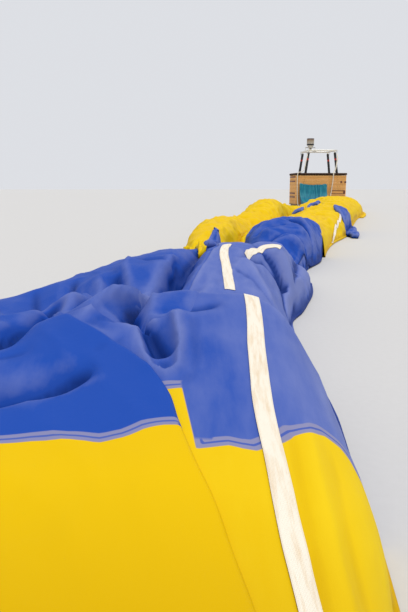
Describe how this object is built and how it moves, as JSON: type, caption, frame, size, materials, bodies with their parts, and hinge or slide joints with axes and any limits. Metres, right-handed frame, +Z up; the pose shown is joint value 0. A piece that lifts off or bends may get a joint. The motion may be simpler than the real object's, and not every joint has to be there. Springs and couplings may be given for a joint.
{
  "type": "hot air balloon with its envelope laid out",
  "caption": "Hot air balloon as laid out after landing: wicker basket with burner frame, tilting burner, fuel cylinders, and a deflated striped envelope on the ground.",
  "frame": {"origin": "on the ground under the middle of the basket, on the underside of the middle floor runner", "axes": "+Z up, +X along the basket's long side to the right as pictured, +Y away from the laid-out envelope"},
  "size_m": [7.4683, 24.543, 2.36],
  "materials": {
    "wood": "raw plywood and hardwood runners",
    "wicker": "woven willow, satin varnish",
    "dark_leather": "dark suede leather, worn",
    "padded_cover": "black padded nylon sleeve",
    "frame_steel": "satin stainless tube",
    "burner_body": "satin cast alloy",
    "stainless": "heat-tinted stainless",
    "black_metal": "matt black paint",
    "aluminium": "satin aluminium",
    "cream_rope": "sheathed cable, dusty",
    "yellow_cloth": "coated nylon, slightly dusty",
    "blue_cloth": "coated nylon, slightly dusty",
    "teal_cloth": "heat-resistant woven cloth",
    "load_tape": "woven load tape with tan streaks",
    "tan_leather": "red-brown leather"
  },
  "bodies": {
    "root": {"floor_with_runners": "wood", "basket_weave": "wicker", "padded_rim": "dark_leather", "upright_near_left": "padded_cover", "upright_near_right": "padded_cover", "upright_far_left": "padded_cover", "upright_far_right": "padded_cover", "upright_pocket_near_left": "dark_leather", "upright_pocket_near_right": "dark_leather", "upright_pocket_far_left": "dark_leather", "upright_pocket_far_right": "dark_leather", "burner_frame": "frame_steel", "karabiner_near_left": "aluminium", "karabiner_near_right": "aluminium", "karabiner_far_left": "aluminium", "karabiner_far_right": "aluminium", "fuel_cylinder_near_left": "aluminium", "fuel_cylinder_near_right": "aluminium", "fuel_cylinder_far_left": "aluminium", "fuel_cylinder_far_right": "aluminium", "envelope_crown": "yellow_cloth", "envelope_belly": "blue_cloth", "envelope_waist": "blue_cloth", "envelope_left_roll": "yellow_cloth", "envelope_blue_mound": "blue_cloth", "envelope_right_fold": "yellow_cloth", "envelope_far_heap": "yellow_cloth", "envelope_neck": "yellow_cloth", "crown_ring": "aluminium", "mouth_scoop": "teal_cloth", "flying_wires_left": "cream_rope", "flying_wires_right": "cream_rope"},
    "gimbal": {"gimbal_ring": "frame_steel"},
    "burner": {"burner_block": "burner_body", "burner_collar": "black_metal", "burner_can": "stainless", "burner_coil": "stainless", "blast_valve_near": "black_metal", "blast_valve_far": "black_metal"}
  },
  "joints": [
    {"name": "gimbal_tilt", "type": "hinge", "parent": "root", "child": "gimbal", "pos_m": [-0.3, 0, 2.05], "axis": [1, 0, 0], "range_deg": [-20, 20]},
    {"name": "burner_tilt", "type": "hinge", "parent": "gimbal", "child": "burner", "pos_m": [-0.3, 0, 2.05], "axis": [0, 1, 0], "range_deg": [-20, 20]}
  ]
}
